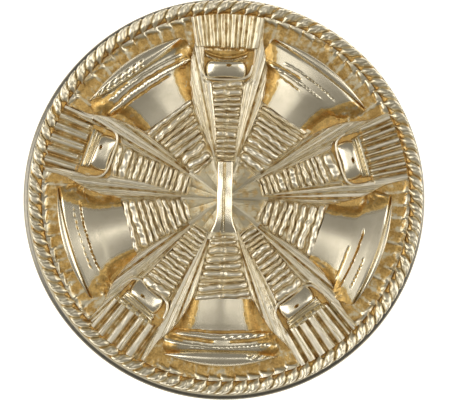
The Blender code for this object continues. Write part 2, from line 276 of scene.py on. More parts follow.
# The channel: the sunk ring between the bells and the rope. The die has short radial ribs there and,
# against the rope, a row of small domed pads, pale from polishing and from a painted highlight that
# is brightest at one end of each pad.
STRIKE_SHIFT = Vector((0.04, 0.07, 0.0)) * MM
ROPE_SHIFT = Vector((0.11, 0.15, 0.0)) * MM
ROPE_WIDTH = 0.78 * MM
ROPE_OUTSIDE = DISC_RADIUS - BORDER_WIDTH
ROPE_INSIDE = ROPE_OUTSIDE - ROPE_WIDTH
CHANNEL_WIDTH = 1.01 * MM
BELL_REACH = ROPE_INSIDE - CHANNEL_WIDTH
LIP_HALF_WIDTH = 3.67 * MM
LIP_BOW = 0.70 * MM
BUGLES = 5
BELL_DIRECTION = math.radians(-90)
BUGLE_STEP = 2 * math.pi / BUGLES
PAD_START = 0.74
PAD_HEIGHT = 0.15 * MM
TILE_HEIGHT = 0.08 * MM
RIB_HEIGHT = 0.045 * MM
RIB_HALF_WIDTH = 0.16
RIBS_PER_BELL = 12
RIB_PITCH = math.radians(4.2)
PATCH_HEIGHT = 0.012 * MM
LEAST_HEIGHT = 0.01 * MM
# How far the channel's ground is polished before each bell.
CHANNEL_POLISH = (0.04, 0.16, 0.18, 0.12, 0.18)
CHANNEL_BROWNS = ((0.78, 0.52, 0.18, 1.0), (0.46, 0.28, 0.09, 1.0))
# Both seeds are set, so that the hand-cut unevenness is the same each time.
random_cut = random.Random(7)
noise.seed_set(7)

bell_directions = [BELL_DIRECTION + number * BUGLE_STEP for number in range(BUGLES)]
mouth_directions = [direction + math.pi for direction in bell_directions]


def domed(share, power=2.0, root=0.5):
    """How high a dome stands here: 1 in its middle, where share is 0, and 0 where it is 1 or more."""
    return max(1.0 - abs(share) ** power, 0.0) ** root


def ridge(distance, half_width):
    """A round ridge: 1 on its line and 0 at its foot."""
    return domed(distance / half_width)


def eased(low, high, value):
    """0 below low and 1 above high, with a smooth rise between them."""
    share = min(max((value - low) / (high - low), 0.0), 1.0)
    return share * share * (3.0 - 2.0 * share)


def lumpy(place, size):
    """Smooth lumps and hollows of this size, between 1 and -1."""
    return noise.noise(Vector(place) / size)


def drift(point, size, amount):
    """The smooth unevenness of work cut by hand: this far at most over lengths of this size."""
    return noise.noise_vector(point / size) * amount


def strike(bm, rows, columns, form):
    """A form struck up from the ground: a grid that form(along, across) places, closed in the blank.

    along goes from 0 to 1 and across from -1 to 1. form gives the point, its polish and its grain.
    """
    polish = bm.verts.layers.float.get("polish") or bm.verts.layers.float.new("polish")
    grain = bm.verts.layers.float_vector.get("grain") or bm.verts.layers.float_vector.new("grain")
    made = bmesh.ops.create_grid(bm, x_segments=rows, y_segments=columns, size=1.0)
    top = made["verts"]
    for vertex in top:
        point, shine, mark = form((vertex.co.x + 1.0) / 2.0, vertex.co.y)
        vertex.co = point
        vertex[polish] = shine
        vertex[grain] = mark
    faces = {face for vertex in top for face in vertex.link_faces}
    rim = [edge for vertex in top for edge in vertex.link_edges if len(edge.link_faces) == 1]
    walls = bmesh.ops.extrude_edge_only(bm, edges=list(set(rim)))
    foot = [item for item in walls["geom"] if isinstance(item, bmesh.types.BMVert)]
    for vertex in foot:
        vertex.co.z = GROUND_Z - SUNK
        vertex[polish] = 0.0
    base = {edge for vertex in foot for edge in vertex.link_edges if len(edge.link_faces) == 1}
    bmesh.ops.holes_fill(bm, edges=list(base), sides=0)
    return faces


def on_arm(direction, along, across, height):
    """The point this far along an arm from the design's centre, across it and above the ground."""
    cosine, sine = math.cos(direction), math.sin(direction)
    x = cosine * along - sine * across
    y = sine * along + cosine * across
    return STRIKE_SHIFT + Vector((x, y, GROUND_Z + height))


def on_design(radius, angle, height):
    """The point at this radius and angle. The design's centre passes to the rope's towards the rope."""
    centre = STRIKE_SHIFT.lerp(ROPE_SHIFT, radius / ROPE_INSIDE)
    return centre + Vector((radius * math.cos(angle), radius * math.sin(angle), GROUND_Z + height))


gilt_channel = gilt(
    "gilt_channel", CHAMPAGNE, stretch=1.0, grain_size=0.05 * MM, cut=0.3, smooth=0.30, matte=0.44,
    dull=CHANNEL_BROWNS,
)
bm = bmesh.new()
inside = math.hypot(BELL_REACH - LIP_BOW, LIP_HALF_WIDTH) - LIP_BOW
for direction, base_polish in zip(bell_directions, CHANNEL_POLISH):
    rib_depths = [random_cut.uniform(0.6, 1.1) for _ in range(RIBS_PER_BELL + 1)]

    def channel(along, across):
        place = along * RIBS_PER_BELL
        nearest = round(place)
        outward = (across + 1.0) / 2.0
        radius = inside + (ROPE_INSIDE - inside) * outward
        rib = ridge(place - nearest, RIB_HALF_WIDTH) * rib_depths[nearest]
        step = place - math.floor(place)
        dome = math.sqrt(1.0 - 0.95 * (2.0 * step - 1.0) ** 2)
        angle = direction + (place - RIBS_PER_BELL / 2) * RIB_PITCH
        at = on_design(radius, angle, 0.0)
        patch = lumpy(at, 0.8 * MM) + 0.5 * lumpy(at, 0.3 * MM)
        pad = eased(PAD_START + 0.10 * step, PAD_START + 0.10 + 0.10 * step, outward)
        pad *= 0.35 + 0.65 * eased(-0.30, 0.20, lumpy(at, 1.4 * MM))
        height = TILE_HEIGHT * dome * (0.4 + 0.6 * outward) + PAD_HEIGHT * pad * (0.5 + 0.5 * dome)
        height += RIB_HEIGHT * rib + PATCH_HEIGHT * patch
        point = at + Vector((0.0, 0.0, max(height, LEAST_HEIGHT)))
        point += drift(point, size=0.5 * MM, amount=0.03 * MM)
        # Painted highlight: each pad's shine falls from one end to the other.
        shine = max(base_polish + 0.36 * rib + 0.24 * patch, pad * (0.95 - 0.45 * step + 0.3 * patch))
        return point, shine, (radius, angle * radius, 0.0)

    strike(bm, RIBS_PER_BELL * 12, 24, channel)
struck(bm, "channel", gilt_channel)

# The rope border: leaning strands, cut in the die one by one, on a low round core. Polishing has
# brightened their crowns and left the gilding in the gaps between them dull and warm.
ROPE_HEIGHT = 0.50 * MM
ROPE_STRANDS = 88
STRAND_START = ROPE_INSIDE - 0.10 * MM
STRAND_END = ROPE_OUTSIDE + 0.05 * MM
STRAND_LEAN = 1.12
STRAND_HALF = 0.55
STRAND_ROUND_FROM = 0.78
STRAND_ROUND = 0.24
PLY_DEPTH = 0.05 * MM
CORE_HEIGHT = 0.14 * MM
CORE_SIDES = 344

gilt_rope = gilt("gilt_rope", CHAMPAGNE, stretch=4.0, grain_size=0.05 * MM, cut=0.3, smooth=0.38, matte=0.46)
bm = bmesh.new()
pitch = 2 * math.pi / ROPE_STRANDS
for number in range(ROPE_STRANDS):
    start_angle = pitch * (number + random_cut.uniform(-0.06, 0.06))
    fullness = random_cut.uniform(0.92, 1.04)
    rise = ROPE_HEIGHT * random_cut.uniform(0.86, 1.0)
    bend = random_cut.uniform(0.03, 0.14)
    ply = random_cut.uniform(-0.35, 0.05)
    wear = random_cut.uniform(-0.12, 0.12)

    def strand(along, across):
        point_in = eased(-0.05, 0.50, along)
        round_out = domed(max(along - STRAND_ROUND_FROM, 0.0) / STRAND_ROUND)
        lean = STRAND_LEAN * along + bend * math.sin(2 * math.pi * along)
        swell = (0.12 + 0.88 * point_in) * (0.30 + 0.70 * round_out) * fullness
        angle = start_angle - pitch * (lean - STRAND_HALF * across * swell)
        radius = STRAND_START + (STRAND_END - STRAND_START) * along
        crown = domed(across - 0.15 * (1.0 - across * across), 2.2, 0.6)
        height = rise * (0.22 + 0.78 * crown * (0.45 + 0.55 * point_in) * (0.45 + 0.55 * round_out))
        split = ridge(across - ply - 0.8 * (along - 0.6), 0.17) * eased(0.15, 0.4, along)
        height -= PLY_DEPTH * split
        turn = Vector((math.cos(angle), math.sin(angle), 0.0))
        point = ROPE_SHIFT + turn * radius + Vector((0.0, 0.0, GROUND_Z + height))
        point += drift(point, size=0.3 * MM, amount=0.03 * MM)
        shine = 0.58 + wear + (0.40 - wear) * eased(0.20, 0.65, along) - 0.28 * split
        shine *= 0.5 + 0.5 * eased(0.15, 0.65, crown)
        return point, shine, (along * ROPE_WIDTH, across * ROPE_WIDTH / 2, number * MM)

    strike(bm, 20, 14, strand)
struck(bm, "rope_strands", gilt_rope)

bm = bmesh.new()
middle = (ROPE_INSIDE + ROPE_OUTSIDE) / 2
half = ROPE_WIDTH / 2
core = [(middle - half, GROUND_Z - SUNK)]
core += [
    (middle - half * math.cos(turn), GROUND_Z + CORE_HEIGHT * math.sin(turn))
    for turn in [math.pi * step / 8 for step in range(9)]
]
core += [(middle + half, GROUND_Z - SUNK)]
turned(bm, core, CORE_SIDES)
bmesh.ops.translate(bm, verts=bm.verts, vec=ROPE_SHIFT)
struck(bm, "rope_core", gilt_rope)

# Five bell arms, struck with the disc. Each tube is shaped as if bound with cord, in rolls that press
# close together and widen towards the bell. Their crowns shine, and the grooves between stay dull and
# are painted a darker brown as painted shade.
HUB_RADIUS = 2.42 * MM
HUB_LAP = 0.20 * MM
WOUND_START = HUB_RADIUS - HUB_LAP
WOUND_FADE = 0.22 * MM
THROAT = 6.50 * MM
BELL_TUBE_HEIGHT = 0.68 * MM
BELL_TUBE_NARROW = 0.70 * MM
BELL_TUBE_WIDENING = 0.26
HIGHEST = 0.94 * MM
STRIP_LOW = 0.38
STRIP_HIGH = 0.50
ROLL_FILL = 0.86
KNOT_PITCH = 0.72 * MM
NOTCH_HALF = 0.14 * MM
SWAY_SIZE = 0.40 * MM
PLAY = 0.12 * MM
PALE_GILT = (0.97, 0.88, 0.69, 1.0)
# The darker of these browns is partly painted shade: besides the dull gilding, it darkens the grooves
# between rolls and the valleys of spokes and fans as shade would.
GROOVE_BROWNS_AND_SHADE = ((0.84, 0.63, 0.32, 1.0), (0.48, 0.34, 0.15, 1.0))
# How deep the middle of a tube's rolls is cut and how deep they are cut between their lumps, as shares
# of their height, how far the tube between them has been polished, which where it is low also paints
# shade between the rolls, and how far from the centre its grooves lie, in millimetres. A roll lies
# between each two grooves.
Tube = namedtuple("Tube", "notch knots pale grooves")
BELL_TUBES = (
    Tube(0.45, 0.08, 0.60, (2.26, 2.62, 2.95, 3.57, 4.08, 4.52, 5.03, 5.34, 5.91, 6.40)),
    Tube(0.00, 0.18, 0.45, (2.26, 2.62, 3.10, 3.54, 3.89, 4.33, 4.74, 5.19, 5.82, 6.40)),
    Tube(0.00, 0.16, 0.55, (2.26, 2.55, 3.13, 3.76, 4.21, 4.50, 4.97, 5.31, 5.68, 6.01, 6.40)),
    Tube(0.00, 0.18, 0.35, (2.26, 2.60, 3.19, 3.83, 4.24, 4.68, 5.06, 5.41, 5.98, 6.40)),
    Tube(0.00, 0.20, 0.50, (2.26, 2.69, 3.04, 3.42, 3.83, 4.30, 4.68, 5.03, 5.38, 6.00, 6.40)),
)
Roll = namedtuple("Roll", "centre half_length half_width split skew rise phase")


def rolls_between(grooves, narrow, widening):
    """The rolls between these grooves, on a tube that is narrow at the hub and widens at this rate."""
    rolls = []
    for low, high in zip(grooves, grooves[1:]):
        centre, half_length = (low + high) / 2 * MM, (high - low) / 2 * MM * ROLL_FILL
        half_width = (narrow + widening * (centre - WOUND_START)) * random_cut.uniform(0.93, 1.05)
        split = random_cut.choice((0.0, 0.0, 0.12, 0.25))
        skew = random_cut.uniform(-0.08, 0.08)
        rise = random_cut.uniform(0.86, 1.0)
        rolls.append(Roll(centre, half_length, half_width, split, skew, rise, random_cut.random()))
    return rolls


def wave(turns):
    """A wave that is 0 at each whole turn and 1 halfway between them."""
    return 0.5 - 0.5 * math.cos(2 * math.pi * turns)


def bound(direction, details, rolls, last, tube_height):
    """A tube bound with rolls: round-ended bars with narrow grooves between them, some split."""
    strip = STRIP_LOW + (STRIP_HIGH - STRIP_LOW) * details.pale
    # A low strip shine paints the tube between the rolls dull and dark, partly as painted shade.
    strip_shine = 0.25 + 0.35 * details.pale

    def wound(along, across):
        distance = WOUND_START + (last - WOUND_START) * along
        here = min(rolls, key=lambda roll: abs(distance - roll.centre) / roll.half_length)
        order = rolls.index(here)
        beyond = 1 if distance > here.centre else -1
        following = rolls[min(max(order + beyond, 0), len(rolls) - 1)]
        gap = abs(following.centre - here.centre) or 1.0
        share = min(abs(distance - here.centre) / gap, 0.5)
        half_width = here.half_width + (following.half_width - here.half_width) * share
        swing = math.sin(across * math.pi / 2)
        side = swing * (half_width + PLAY)
        end = max(abs(side) - here.half_width + here.half_length, 0.0) / here.half_length
        sway = lumpy((side / SWAY_SIZE, 9.0 * here.phase, direction), 1.0)
        off = (distance - here.centre) / here.half_length + (0.20 + 0.8 * details.knots) * sway
        bar = here.rise * domed(math.hypot(off, end), 2.2, 0.6)
        slanted = side + 0.4 * (distance - here.centre)
        bar *= 1.0 - details.knots * wave(slanted / KNOT_PITCH + here.phase)
        bar *= 1.0 - details.notch * ridge(side - here.skew * MM, NOTCH_HALF)
        bar *= 1.0 - here.split * ridge(off - 2.0 * here.skew, 0.22)
        lumps = lumpy((side, distance, direction * MM), 0.34 * MM)
        tube = strip * domed(0.92 * swing)
        crown = domed(0.75 * swing)
        height = tube_height * (tube + (crown - tube) * bar * (1.0 + 0.16 * lumps))
        height *= eased(0.0, WOUND_FADE, distance - WOUND_START + 0.5 * WOUND_FADE * lumps)
        bend = here.skew * side - 0.05 * side * abs(side) / half_width
        point = on_arm(direction, distance + bend, side, min(max(height, 0.0), HIGHEST))
        point += drift(point, size=0.45 * MM, amount=0.035 * MM)
        shine = strip_shine + (1.0 - strip_shine) * eased(0.15, 0.65, bar) + 0.14 * lumps
        return point, shine, (side, distance, 0.0)

    return wound


def windings(name, directions, tubes, last, tube_height, narrow, widening, rows, columns):
    """Bind a tube on each of these arms with rolls, with this many rows and columns of mesh a tube."""
    bm = bmesh.new()
    for direction, details in zip(directions, tubes):
        rolls = rolls_between(details.grooves, narrow, widening)
        strike(bm, rows, columns, bound(direction, details, rolls, last, tube_height))
    struck(bm, name, gilt_bound)


gilt_bound = gilt(
    "gilt_bound", PALE_GILT, stretch=3.0, grain_size=0.08 * MM, cut=0.12, smooth=0.43, matte=0.46,
    dull=GROOVE_BROWNS_AND_SHADE,
)
windings(
    "bell_windings", bell_directions, BELL_TUBES, THROAT, BELL_TUBE_HEIGHT, BELL_TUBE_NARROW,
    BELL_TUBE_WIDENING, rows=190, columns=60,
)

# The bells themselves: a smooth flare and a wider skirt, with the lines that the maker cut across
# them, and the lip, a lens that falls steeply to the channel. They are buffed bright, and at their
# sides they run into dull recesses. The trench before the lip is darkened as a painted shadow. No two
# bells have the same lines, and some lines are beaded.
LIP_END = BELL_REACH
# All of the lip runs together at its two tips, which lie this far out.
LIP_TIP = 9.92 * MM
LIP_FADE = 0.30 * MM
LIP_FOOT = 0.66
CROWN_FALL = 0.55
CROWN_ROUND = 0.60
LIP_PEAK = 0.36
SKIRT_START = 8.35 * MM
BEAD_PITCH = 0.50 * MM
DOT_PITCH = 0.27 * MM
PEARL_PITCH = 0.54 * MM
PEARL_CUT = 0.13 * MM
LINE_WANDER = 0.045 * MM
ROUGH_HEIGHT = 0.14 * MM
ROUGH_FROM, ROUGH_FULL = 7.9 * MM, 8.7 * MM
BELL_BROWNS = ((0.82, 0.54, 0.18, 1.0), (0.52, 0.33, 0.11, 1.0))
# Along a bell: how far its cross lines bend back at the sides, half its width, and its height.
Row = namedtuple("Row", "along bow half_width crest")
BELL_ROWS = (
    Row(6.33 * MM, 0.00 * MM, 1.60 * MM, 0.55 * MM),
    Row(7.20 * MM, 0.00 * MM, 1.74 * MM, 0.62 * MM),
    Row(7.90 * MM, 0.05 * MM, 1.93 * MM, 0.70 * MM),
    Row(8.35 * MM, 0.15 * MM, 2.12 * MM, 0.77 * MM),
    Row(8.70 * MM, 0.42 * MM, 2.32 * MM, 0.80 * MM),
    Row(9.00 * MM, 0.50 * MM, 2.52 * MM, 0.82 * MM),
    Row(9.40 * MM, 0.44 * MM, 2.80 * MM, 0.845 * MM),
    Row(9.65 * MM, 0.30 * MM, 3.05 * MM, 0.865 * MM),
    Row(9.90 * MM, 0.20 * MM, 3.30 * MM, 0.88 * MM),
    Row(10.30 * MM, 0.34 * MM, 3.55 * MM, 0.90 * MM),
)
# A line's place along the bell, its half width, its rise, its two ends across, where its beads start
# and stop, how far apart they are, and its polish.
Line = namedtuple("Line", "along half_width rise left right beads_left beads_right pitch polish")
RIDGE, THIN = 0.15 * MM, 0.06 * MM
NOWHERE = 9 * MM
PLAIN = (NOWHERE, NOWHERE, BEAD_PITCH)
# How wide each bell's flare and its skirt are on their left and right, as shares of the rows above,
# where its lip starts, how deep the trench before the lip is, which also sets how much painted shadow
# darkens it, how late the lip falls, where the lip's pearls start and stop, and the bell's lines.
Bell = namedtuple(
    "Bell", "flare_left flare_right skirt_left skirt_right lip trench fall beads_left beads_right lines"
)
BELLS = (
    Bell(1.02, 0.92, 1.04, 1.00, 9.76 * MM, 0.22 * MM, 2.6, 1.75 * MM, 3.55 * MM, (
        Line(8.43 * MM, 0.10 * MM, -0.10 * MM, -2.9 * MM, 2.9 * MM, *PLAIN, 0.0),
        Line(8.78 * MM, RIDGE, 0.11 * MM, -2.8 * MM, 2.7 * MM, 0.0, 2.6 * MM, BEAD_PITCH, 1.0),
        Line(9.05 * MM, 0.11 * MM, -0.08 * MM, -3.3 * MM, -0.5 * MM, *PLAIN, 0.0),
        Line(9.05 * MM, 0.11 * MM, -0.08 * MM, 0.6 * MM, 3.1 * MM, *PLAIN, 0.0),
        Line(9.41 * MM, 0.09 * MM, 0.07 * MM, -3.6 * MM, 3.1 * MM, -0.7 * MM, 2.9 * MM, DOT_PITCH, 0.9),
    )),
    Bell(1.08, 0.88, 1.18, 0.98, 10.27 * MM, 0.13 * MM, 8.0, NOWHERE, NOWHERE, (
        Line(8.42 * MM, 0.09 * MM, -0.04 * MM, -3.2 * MM, -0.3 * MM, *PLAIN, 0.3),
        Line(8.99 * MM, THIN, -0.12 * MM, -2.9 * MM, 0.95 * MM, *PLAIN, 0.0),
        Line(9.55 * MM, THIN, -0.09 * MM, -2.6 * MM, -0.7 * MM, -2.6 * MM, 0.0, DOT_PITCH, 0.1),
    )),
    Bell(0.78, 1.02, 0.90, 1.15, 10.08 * MM, 0.13 * MM, 5.0, NOWHERE, NOWHERE, (
        Line(8.28 * MM, THIN, -0.05 * MM, 0.5 * MM, 1.9 * MM, *PLAIN, 0.1),
        Line(8.67 * MM, 0.09 * MM, 0.05 * MM, -1.0 * MM, 0.8 * MM, -1.0 * MM, 0.9 * MM, DOT_PITCH, 0.8),
        Line(8.67 * MM, 0.12 * MM, 0.10 * MM, 0.6 * MM, 2.8 * MM, 1.8 * MM, 2.8 * MM, BEAD_PITCH, 1.0),
        Line(8.92 * MM, 0.08 * MM, -0.06 * MM, 0.8 * MM, 3.9 * MM, *PLAIN, 0.0),
        Line(9.25 * MM, THIN, -0.08 * MM, -1.7 * MM, 0.7 * MM, -1.7 * MM, 0.8 * MM, DOT_PITCH, 0.5),
        Line(9.27 * MM, 0.07 * MM, 0.05 * MM, 0.8 * MM, 2.1 * MM, *PLAIN, 0.9),
    )),
    Bell(0.98, 0.90, 1.04, 1.02, 9.72 * MM, 0.20 * MM, 2.6, -0.65 * MM, 3.5 * MM, (
        Line(8.42 * MM, 0.10 * MM, -0.09 * MM, -1.5 * MM, 2.5 * MM, *PLAIN, 0.1),
        Line(8.78 * MM, 0.14 * MM, 0.10 * MM, -3.1 * MM, 2.8 * MM, -3.0 * MM, 1.8 * MM, DOT_PITCH, 1.0),
        Line(9.00 * MM, 0.08 * MM, -0.07 * MM, -3.1 * MM, 3.6 * MM, *PLAIN, 0.0),
        Line(9.33 * MM, 0.09 * MM, 0.07 * MM, -2.9 * MM, 2.2 * MM, 0.2 * MM, 2.2 * MM, DOT_PITCH, 0.9),
        Line(9.52 * MM, THIN, -0.05 * MM, 0.9 * MM, 3.1 * MM, *PLAIN, 0.0),
    )),
    Bell(0.98, 0.96, 0.97, 0.97, 10.20 * MM, 0.13 * MM, 8.0, NOWHERE, NOWHERE, (
        Line(9.02 * MM, 0.07 * MM, -0.13 * MM, -2.4 * MM, 2.0 * MM, -2.4 * MM, 2.0 * MM, DOT_PITCH, 0.0),
        Line(9.44 * MM, THIN, -0.03 * MM, -2.1 * MM, 1.8 * MM, -2.1 * MM, 1.8 * MM, 0.42 * MM, 0.2),
    )),
)


def through(table, along):
    """The row of a table at this distance, smoothly between the stations on both sides of it."""
    last = len(table) - 2
    index = next((i for i in range(last) if along < table[i + 1].along), last)
    start, end = table[index], table[index + 1]
    share = min(max((along - start.along) / (end.along - start.along), 0.0), 1.0)
    values = []
    for column in range(1, len(start)):
        steps = []
        for near in (index, index + 1):
            low, high = table[max(near - 1, 0)], table[min(near + 1, last + 1)]
            steps.append((high[column] - low[column]) / (high.along - low.along))
        rise = (end[column] - start[column]) / (end.along - start.along)
        limit = 3.0 * abs(rise)
        first, second = (math.copysign(min(abs(step), limit), step) for step in steps)
        width = end.along - start.along
        square, cube = share * share, share * share * share
        values.append(
            start[column] * (2 * cube - 3 * square + 1)
            + end[column] * (3 * square - 2 * cube)
            + first * width * (cube - 2 * square + share)
            + second * width * (cube - square)
        )
    return values


def between(low, high, fade, value):
    """1 between low and high and 0 outside them, with a smooth change of this half width at each."""
    return eased(low - fade, low + fade, value) * (1.0 - eased(high - fade, high + fade, value))


def beaded(left, right, across, pitch, slant):
    """How far a line here is cut into beads: 0 where it is plain, and up to 1 between two beads."""
    return between(left, right, 0.1 * MM, across) * wave((across + slant) / pitch)


def lip(bell, place, side, crown):
    """The height and polish of a bell's lip, which rises a little to its peak and then falls."""
    share = (place - bell.lip) / (LIP_END - bell.lip)
    face = 0.90 + 0.10 * eased(0.0, LIP_PEAK, share)
    if share > LIP_PEAK:
        fall = (share - LIP_PEAK) / (1.0 - LIP_PEAK)
        face = LIP_FOOT + (1.0 - LIP_FOOT) * (1.0 - fall**bell.fall)
    pearls = beaded(bell.beads_left, bell.beads_right, side, PEARL_PITCH, 0.8 * (place - bell.lip))
    pearls *= eased(0.0, 0.12, share) * (1.0 - eased(0.40, 0.60, share))
    return HIGHEST * crown * face - PEARL_CUT * pearls, eased(0.0, 0.05, share) * (1.0 - 0.5 * pearls)


def lined(bell, direction, place, side, crown, height, shine):
    """The height and polish of a bell here once its lines are cut."""
    wander = LINE_WANDER * lumpy((side, direction * MM, 0.0), 0.45 * MM)
    for line in bell.lines:
        cut = ridge(place + wander - line.along, line.half_width)
        if cut > 0.0:
            slant = 0.7 * (place - line.along)
            beads = beaded(line.beads_left, line.beads_right, side, line.pitch, slant)
            cut *= between(line.left, line.right, 0.15 * MM, side) * (1.0 - 0.85 * beads)
            height += line.rise * cut * (0.3 + 0.7 * crown)
            shine += (line.polish - shine) * min(2.0 * cut, 1.0)
    return height, shine


gilt_bright = gilt(
    "gilt_bright", CHAMPAGNE, stretch=1.0, grain_size=0.08 * MM, cut=0.03, smooth=0.26, matte=0.46,
    dull=BELL_BROWNS,
)
bm = bmesh.new()
flare_start = BELL_ROWS[0].along
for direction, bell in zip(bell_directions, BELLS):

    def bell_form(along, across):
        place = flare_start + (LIP_END - flare_start) * along
        swing = (math.sin(across * math.pi / 2) + across) / 2.0
        bow, half_width, crest = through(BELL_ROWS, place)
        skirt = eased(SKIRT_START - 0.15 * MM, SKIRT_START + 0.35 * MM, place)
        if swing < 0:
            half_width *= bell.flare_left + (bell.skirt_left - bell.flare_left) * skirt
        else:
            half_width *= bell.flare_right + (bell.skirt_right - bell.flare_right) * skirt
        on_lip = place > bell.lip
        near_lip = eased(bell.lip - LIP_FADE, bell.lip, place)
        span = min(half_width * 1.5, LIP_HALF_WIDTH)
        span += (LIP_HALF_WIDTH - span) * near_lip
        side = span * swing
        if on_lip:
            bow = place - LIP_TIP
        else:
            bow += (bell.lip - LIP_TIP - bow) * near_lip
        reach = (side / LIP_HALF_WIDTH) ** 2
        distance = place - bow * reach
        round_off = abs(side) / half_width / 0.98
        crown = 1.0 - CROWN_FALL * (math.hypot(min(round_off, 1.2), CROWN_ROUND) - CROWN_ROUND)
        crown *= 1.0 - eased(0.98, 1.40, round_off)
        crown += (domed(side / LIP_HALF_WIDTH, 2.0, 0.62) - crown) * near_lip
        if on_lip:
            height, shine = lip(bell, place, side, crown)
        else:
            trench_start = bell.lip - bell.trench
            height = crest * crown - bell.trench * eased(trench_start, bell.lip - 0.03 * MM, place)
            shine = 1.0 - eased(0.78, 0.98, round_off)
            shine += (1.0 - shine) * near_lip * (1.0 - eased(0.5, 0.9, reach))
            # Painted shadow: the trench before the lip is dulled darker, as shade would darken it.
            trench_shadow = bell.trench / (0.3 * MM) * (0.3 + 0.7 * eased(0.15, 0.6, reach))
            shine -= trench_shadow * eased(trench_start, bell.lip - 0.05 * MM, place)
            lump = lumpy((side, place, direction * MM), 0.28 * MM) + 0.3
            rough = eased(1.0, 1.25, round_off) * eased(ROUGH_FROM, ROUGH_FULL, place) * (1.0 - near_lip)
            height += ROUGH_HEIGHT * rough * max(lump, 0.0)
            shine += 0.45 * rough * lump
            height, shine = lined(bell, direction, place, side, crown, height, shine)
        point = on_arm(direction, distance, side, min(max(height, LEAST_HEIGHT), HIGHEST))
        return point, shine, (side, distance, 0.0)

    strike(bm, 150, 112, bell_form)
struck(bm, "bells", gilt_bright)

# Five mouthpiece arms, struck with the disc. Each has a narrower tube, shaped as if bound with rolls
# that grow longer outwards.
MOUTH_TUBE_HEIGHT = 0.64 * MM
MOUTH_TUBE_NARROW = 0.60 * MM
MOUTH_TUBE_WIDENING = 0.085
MOUTH_WOUND_END = 7.44 * MM
MOUTH_TUBES = (
    Tube(0.55, 0.05, 0.50,
         (2.26, 2.52, 2.85, 3.13, 3.48, 3.83, 4.33, 4.71, 5.15, 5.47, 5.79, 6.10, 6.45, 6.98, 7.42)),
    Tube(0.10, 0.20, 0.65,
         (2.26, 2.50, 2.81, 3.26, 3.58, 3.89, 4.25, 4.52, 4.81, 5.20, 5.60, 6.04, 6.33, 6.99, 7.42)),
    Tube(0.35, 0.16, 0.60,
         (2.26, 2.55, 2.91, 3.22, 3.54, 3.85, 4.17, 4.55, 4.97, 5.30, 5.63, 6.00, 6.33, 6.74, 7.38)),
    Tube(0.10, 0.24, 0.30,
         (2.26, 2.50, 2.91, 3.13, 3.48, 3.76, 4.24, 4.65, 5.09, 5.44, 5.88, 6.26, 6.70, 7.36)),
    Tube(0.20, 0.28, 0.55,
         (2.26, 2.50, 2.81, 3.10, 3.48, 3.98, 4.30, 4.84, 5.15, 5.60, 5.93, 6.26, 6.67, 7.42)),
)

windings(
    "mouthpiece_windings", mouth_directions, MOUTH_TUBES, MOUTH_WOUND_END, MOUTH_TUBE_HEIGHT,
    MOUTH_TUBE_NARROW, MOUTH_TUBE_WIDENING, rows=230, columns=44,
)

# The mouthpieces' ends: a barrel-shaped cup across each arm, buffed bright, with a small oval dimple
# whose dull dark colour is a painted dark reflection, and outside it the cup's thin rim. They are one
# metal with the disc too.
CUP_START = 7.66 * MM
CUP_END = 8.66 * MM
CUP_HEIGHT = 0.74 * MM
RIM_END = 9.26 * MM
RIM_LAP = 0.12 * MM
RIM_HEIGHT = 0.50 * MM
RIM_BOW = 0.10 * MM
DIMPLE = 0.09 * MM
DIMPLE_OVAL = 1.8
DIMPLE_DEPTH = 0.30 * MM
NEVER = 1.2
# How far each cup is shifted outwards and aside, its half width, how it tilts, how far the sides of
# its rim run outwards, where its dimple lies, and from which share of its width the rim is sunk and
# dulled to a painted shadow.
Cup = namedtuple("Cup", "shift aside half_width tilt bow dimple_aside dimple_out sunk_from")
CUPS = (
    Cup(0.00 * MM, 0.10 * MM, 1.32 * MM, 0.00, 0.36 * MM, -0.16 * MM, 0.25 * MM, 0.48),
    Cup(0.05 * MM, -0.17 * MM, 1.16 * MM, 0.03, 0.02 * MM, -0.30 * MM, 0.24 * MM, NEVER),
    Cup(-0.22 * MM, -0.16 * MM, 1.18 * MM, 0.10, 0.04 * MM, -0.20 * MM, 0.10 * MM, NEVER),
    Cup(-0.14 * MM, 0.00 * MM, 1.24 * MM, -0.08, 0.04 * MM, -0.12 * MM, 0.16 * MM, NEVER),
    Cup(0.10 * MM, 0.05 * MM, 1.26 * MM, 0.02, 0.00 * MM, -0.06 * MM, 0.20 * MM, NEVER),
)

